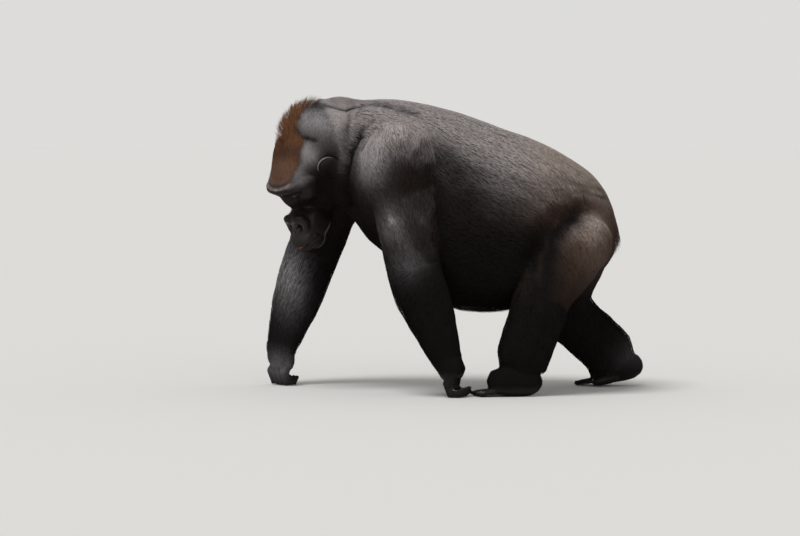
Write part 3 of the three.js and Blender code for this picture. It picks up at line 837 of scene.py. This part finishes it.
# Painted shade in the furrow over the brow.
furrow_shade = np.exp(-(((above - 73 + 0.05 * beside) / 3.4) ** 2)) * ramp(fore, 56, 76) * ramp(-beside, -60, -36)
grey_and_sheen, chestnut = grey_and_sheen * (1 - 0.8 * furrow_shade), chestnut * (1 - 0.7 * furrow_shade)
rosy = np.exp(-(((above + 100) / 4.5) ** 4) - (beside / 11) ** 4) * ramp(fore, 190, 202)
MARKS = {"grey_and_sheen": grey_and_sheen, "brown": brown, "chestnut": chestnut}
for key, values in (MARKS | {"rosy": rosy, "moist": moist}).items():
    skin.data.attributes.new(key, "FLOAT", "POINT").data.foreach_set("value", values)

# The skin is dull, and moist only at the nose and a little where it is bare.
BLACK, BROWN = (0.0105, 0.0092, 0.0088, 1), (0.066, 0.04, 0.03, 1)
# Cool and warm pale greys of the painted sheen and highlights.
SHEEN_GREY, WARM_SHEEN_GREY = (0.36, 0.337, 0.35, 1), (0.355, 0.3, 0.262, 1)
CHESTNUT, ROSY = (0.15, 0.069, 0.036, 1), (0.24, 0.07, 0.06, 1)


def marked(tree, grey_and_sheen_share):
    """The colour that skin and coat share, with the painted sheen, highlights and shade of their markings.
    """
    share = {key: tree.spot(key) for key in ("grey_and_sheen", "brown", "chestnut", "shade", "along")}
    colour = tree.mixed(BLACK, BROWN, share["brown"])
    colour = colour.mix(CHESTNUT, share["chestnut"] * (share["shade"] * 0.6 + 0.55))
    grey_and_sheen_colour = tree.mixed(SHEEN_GREY, WARM_SHEEN_GREY, share["brown"])
    return colour.mix(grey_and_sheen_colour, grey_and_sheen_share(share).clamp())


HIDE = {"Roughness": 0.5, "Specular IOR Level": 0.0, "Coat Roughness": 0.16}
hide, shader, tree = material("black_skin", HIDE)
# The skin carries the same grey and painted sheen as the coat, a little weaker.
colour = marked(tree, lambda share: share["grey_and_sheen"] * 0.9)
colour.mix(ROSY, tree.spot("rosy")).feed(shader, "Base Color")
(tree.spot("moist") * 0.9).feed(shader, "Coat Weight")
fine = tree.put("ShaderNodeTexCoord", output="Object")
grain = fine.put("ShaderNodeTexVoronoi", {"feature": "DISTANCE_TO_EDGE"}, {"Vector": fine, "Scale": 320})
bump = tree.put("ShaderNodeBump", {}, {"Strength": 0.35, "Distance": 0.001, "Height": grain})
bump.feed(shader, "Normal")
skin.data.materials.clear()
skin.data.materials.append(hide)
skin.data.shade_smooth()
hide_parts(*FLESH)
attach(skin, "root")

# ---- Coat: locks of hair ----
# Every lock is a thin closed spindle of three sides, rooted in the skin and lying along the one below it.
# Neighbours lean together, so that the coat parts into strands. Each row has its parts and its locks.
PIECES = {
    "coat_head": (("head", "ear"), 26000),
    "coat_neck": (("neck",), 24000),
    "coat_shoulders": (("chest",), 32000),
    "coat_flanks": (("abdomen",), 32000),
    "coat_rump": (("rump",), 24000),
    "coat_left_arm": (("upper_arm_left", "forearm_left", "hand_left"), 32000),
    "coat_right_arm": (("upper_arm_right", "forearm_right", "hand_right"), 24000),
    "coat_left_leg": (("thigh_left", "shank_left", "foot_left"), 31000),
    "coat_right_leg": (("thigh_right", "shank_right", "foot_right"), 24000),
}
chance = np.random.default_rng(7)
skin.data.calc_loop_triangles()
corner = np.empty(len(skin.data.loop_triangles) * 3, int)
skin.data.loop_triangles.foreach_get("vertices", corner)
corner = corner.reshape(-1, 3)
sides = points[corner[:, 1:]] - points[corner[:, :1]]
area = np.linalg.norm(np.cross(sides[:, 0], sides[:, 1]), axis=1) / 2
under = BVHTree.FromPolygons([tuple(p) for p in points], [tuple(c) for c in corner])


def over_skin(places, height):
    """Brings places to a height over the skin."""
    found = [under.find_nearest(Vector(p))[:2] for p in places]
    foot = np.array([tuple(f[0]) for f in found])
    out = np.array([tuple(f[1]) for f in found])
    return foot + out * height[:, None]


def unit(v):
    """Vectors brought to the length of one."""
    return v / np.maximum(np.linalg.norm(v, axis=1), 1e-9)[:, None]


def lock_mesh(name, spots, lit):
    """A mesh of locks of five points each, lit by these normals. Returns it and its faces."""
    amount = len(spots)
    one = np.array([(0, 2, 1), (0, 3, 2), (0, 1, 3), (4, 1, 2), (4, 2, 3), (4, 3, 1)])
    faces = (one[None] + np.arange(amount)[:, None, None] * 5).reshape(-1, 3)
    mesh = bpy.data.meshes.new(name)
    mesh.vertices.add(amount * 5)
    mesh.vertices.foreach_set("co", spots.ravel())
    mesh.loops.add(len(faces) * 3)
    mesh.loops.foreach_set("vertex_index", faces.ravel())
    mesh.polygons.add(len(faces))
    mesh.polygons.foreach_set("loop_start", np.arange(len(faces)) * 3)
    mesh.polygons.foreach_set("use_smooth", np.ones(len(faces), bool))
    mesh.update(calc_edges=True)
    lit = lit / np.linalg.norm(lit, axis=2)[..., None]
    mesh.normals_split_custom_set_from_vertices(lit.reshape(-1, 3))
    return mesh, faces


def unwrapped(root, own):
    """Where each lock lies on an unwrap of the skin round the long axis of its own stretch of the body."""
    middle = points[own].mean(0)
    axes = np.linalg.svd(points[own][::7] - middle, full_matrices=False)[2]
    flat = (root - middle) @ axes.T
    ends = [flat[:, 0].min(), flat[:, 0].max()]
    turned = np.arctan2(flat[:, 2], flat[:, 1]) / math.tau + 0.5
    length = (flat[:, 0] - ends[0]) / (ends[1] - ends[0])
    return 0.01 + 0.98 * np.stack([turned, length], 1)


def coat_piece(name, starts, amount):
    """One piece of the coat: this many locks on the parts of the body whose names start so."""
    own = np.isin(part, [i for i, n in enumerate(FLESH) if n.startswith(starts)])
    weight = area * own[corner].mean(1) * (1 - bare[corner].mean(1)) / (hair_length[corner].mean(1) + 0.004)
    total = np.cumsum(weight)
    pick = np.searchsorted(total, (np.arange(amount) + chance.random(amount)) / amount * total[-1])
    pick = np.minimum(pick, len(total) - 1)
    share = np.sqrt(chance.random(amount))
    other = chance.random(amount)
    shares = np.stack([1 - share, share * (1 - other), share * other], 1)

    def here(values):
        return (values[corner[pick]] * shares.reshape(amount, 3, *[1] * (values.ndim - 1))).sum(1)

    root, out, way = here(points), unit(here(skin_out)), here(lie)
    lift = here(stand)
    long = here(hair_length) * (0.75 + 0.5 * chance.random(amount) + lift * chance.normal(0, 0.3, amount))
    depth = here(coat_depth)
    way = unit(way - (way * out).sum(1)[:, None] * out)
    across = np.cross(out, way)
    wave = 0.16 * np.sin(root @ (61, 47, 83)) + 0.14 * np.sin(root @ (-113, 29, 37) + 1)
    wave += chance.normal(0, 0.08, amount)
    way = unit(way + across * wave[:, None])
    across = np.cross(out, way)
    flat_run = long * (1 - 0.5 * lift)
    rough = chance.random((2, amount))
    height = depth * (0.6 + 0.3 * rough[0]) + lift * long * 0.35
    middle = over_skin(root + way * (flat_run * 0.45)[:, None], height)
    height = depth * (0.5 + 0.45 * rough[1]) + lift * long * 0.85
    tip = over_skin(root + way * flat_run[:, None], height)
    # strands: each lock's tip leans to that of a lock near it, one in five of which leads
    leaders = KDTree(amount // 5 + 1)
    for i in range(0, amount, 5):
        leaders.insert(Vector(root[i]), i)
    leaders.balance()
    lead = np.array([leaders.find(Vector(p))[1] for p in root])
    tip += (tip[lead] - tip) * 0.3
    middle += (middle[lead] - middle) * 0.1
    width = (0.6 + 0.4 * chance.random(amount)) / 1000 * np.clip(long / 0.022, 0.55, 1.2)
    spots = np.empty((amount, 5, 3))
    spots[:, 0] = root - out * 0.0008
    for k, (sideways, outward) in enumerate(((-1, 0), (1, 0), (0, 0.45))):
        spots[:, 1 + k] = middle + across * (width * sideways)[:, None] + out * (width * outward)[:, None]
    spots[:, 4] = tip
    # lit as part of the surface they lie on, and a little by their own sides
    lit = np.repeat(unit(out * 0.8 + way * 0.1)[:, None], 5, 1)
    lit[:, 1] -= across * 0.45
    lit[:, 2] += across * 0.45
    mesh, faces = lock_mesh(name, spots, lit)
    kept = {"along": np.tile([0, 0.4, 0.4, 0.4, 1], amount), "shade": np.repeat(chance.random(amount), 5)}
    kept |= {key: np.repeat(here(values), 5) for key, values in MARKS.items()}
    for key, values in kept.items():
        mesh.attributes.new(key, "FLOAT", "POINT").data.foreach_set("value", values)
    patch = np.array([(0, -1), (-1, 0), (1, 0), (0, -0.2), (0, 1)]) * 0.0015
    uv = (unwrapped(root, own)[:, None] + patch[None]).reshape(-1, 2)[faces.ravel()]
    mesh.uv_layers.new(name="OFBake").data.foreach_set("uv", uv.ravel())
    piece = bpy.data.objects.new(name, mesh)
    bpy.context.collection.objects.link(piece)
    return piece


# The hair is dull, and paler at its tips than at its roots where it carries grey and painted sheen.
hair, shader, tree = material("black_hair", {"Roughness": 0.5, "Specular IOR Level": 0.0})
colour = marked(tree, lambda share: share["grey_and_sheen"] * (share["shade"] + 0.5) * (share["along"] * 0.5 + 0.75))
colour.feed(shader, "Base Color")
for name, (starts, amount) in PIECES.items():
    piece = coat_piece(name, starts, amount)
    piece.data.materials.append(hair)
    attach(piece, "root")

# ---- Eyes ----
# Two moist balls deep under the brow: brown irises with round pupils, and dark whites.
EYE_AT, EYE_SIZE = (98.5, 33, 27), 13.2
PUPIL, IRIS = (0.004, 0.003, 0.003, 1), (0.075, 0.028, 0.01, 1)
RIM, WHITE = (0.030, 0.010, 0.005, 1), (0.022, 0.015, 0.012, 1)
IRIS_FROM, RIM_FROM, WHITE_FROM = 0.11, 0.22, 0.29  # how far off the eye's axis, in right angles

wet, shader, tree = material("eye", {"Roughness": 0.06})
off = tree.spot("off_axis")
colour = tree.mixed(PUPIL, IRIS, ((off - IRIS_FROM) * 30).clamp())
colour = colour.mix(RIM, ((off - RIM_FROM) * 20).clamp())
colour.mix(WHITE, ((off - WHITE_FROM) * 30).clamp()).feed(shader, "Base Color")
for side, name in ((1, "eye_left"), (-1, "eye_right")):
    ball_mesh = bmesh.new()
    bmesh.ops.create_uvsphere(ball_mesh, u_segments=48, v_segments=40, radius=1)
    look = Vector((0.97, 0.06 * side, -0.22)).to_track_quat("Z", "Y")
    off_axis = []
    for vertex in ball_mesh.verts:
        angle = math.degrees(math.acos(max(-1.0, min(1.0, vertex.co.z))))
        off_axis.append(angle / 90)
        bulge = 1 + 0.07 * max(0.0, 1 - (angle / 30) ** 2)
        vertex.co = Vector((EYE_AT[0], side * EYE_AT[1], EYE_AT[2])) + look @ vertex.co * EYE_SIZE * bulge
        vertex.co = skull_place @ vertex.co
    eye = bpy.data.objects.new(name + "_ball", bpy.data.meshes.new(name + "_ball"))
    ball_mesh.to_mesh(eye.data)
    ball_mesh.free()
    eye.data.attributes.new("off_axis", "FLOAT", "POINT").data.foreach_set("value", off_axis)
    eye.data.shade_smooth()
    bpy.context.collection.objects.link(eye)
    eye.data.materials.append(wet)
    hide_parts(name)
    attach(eye, "root")

# ---- Nails ----
# Short dark plates of horn, bowed across, on the ends of fingers and toes. Each lies on the skin under it,
# a little sunk into it.
horn = material("nail_horn", {"Base Color": (0.022, 0.018, 0.016, 1), "Roughness": 0.28})[0]


def add_nail(made, place, at, along, out, long, wide):
    """One nail: where its middle is, the way it points, the way it faces, its length and width."""
    along, out = (place.to_3x3() @ Vector(v).normalized() for v in (along, out))
    across = out.cross(along)
    first = len(made.verts)
    block = bmesh.ops.create_cube(made, size=2)["verts"]
    edges = list({edge for vertex in block for edge in vertex.link_edges})
    bmesh.ops.subdivide_edges(made, edges=edges, cuts=5, use_grid_fill=True)
    made.verts.ensure_lookup_table()
    for vertex in made.verts[first:]:
        x, y, top = vertex.co.x / 2, vertex.co.y, (vertex.co.z + 1) / 2
        x *= 1 - 0.25 * y * y
        over = place @ (Vector(at) / 1000) + (along * x * long + across * y * wide / 2) / 1000
        foot, normal = under.find_nearest(over)[:2]
        vertex.co = foot + normal * (top * (0.0024 - 0.0006 * y * y) - 0.0012)


for side in ("left", "right"):
    fingers, toes = [], []
    hand, foot = HAND_FRAMES[side], FOOT_FRAMES[side]
    for i, length in enumerate((0.94, 1.04, 1, 0.9)):
        fingers.append((hand, (-52 * length, (1.5 - i) * 26, 34), (0, 0, 1), (-1, 0, 0.1), 15, 13))
    fingers.append((hand, (12, 66, 46), (0.2, 0, -1), (0.7, 0.7, 0), 14, 13))
    for i, length in enumerate((1, 0.97, 0.88, 0.76)):
        toes.append((foot, (165 + 72 * length, (1.5 - i) * 20, 18), (1, 0, -0.2), (0.2, 0, 1), 12, 12))
    toes.append((foot, (180, 74, 30), (1, 0.4, -0.2), (0.1, 0, 1), 17, 18))
    for kind, rows in (("fingernails_", fingers), ("toenails_", toes)):
        made = bmesh.new()
        for row in rows:
            add_nail(made, *row)
        bmesh.ops.recalc_face_normals(made, faces=made.faces)
        plate = bpy.data.objects.new(kind + side, bpy.data.meshes.new(kind + side))
        made.to_mesh(plate.data)
        made.free()
        plate.data.shade_smooth()
        bpy.context.collection.objects.link(plate)
        plate.data.materials.append(horn)
        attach(plate, "root")
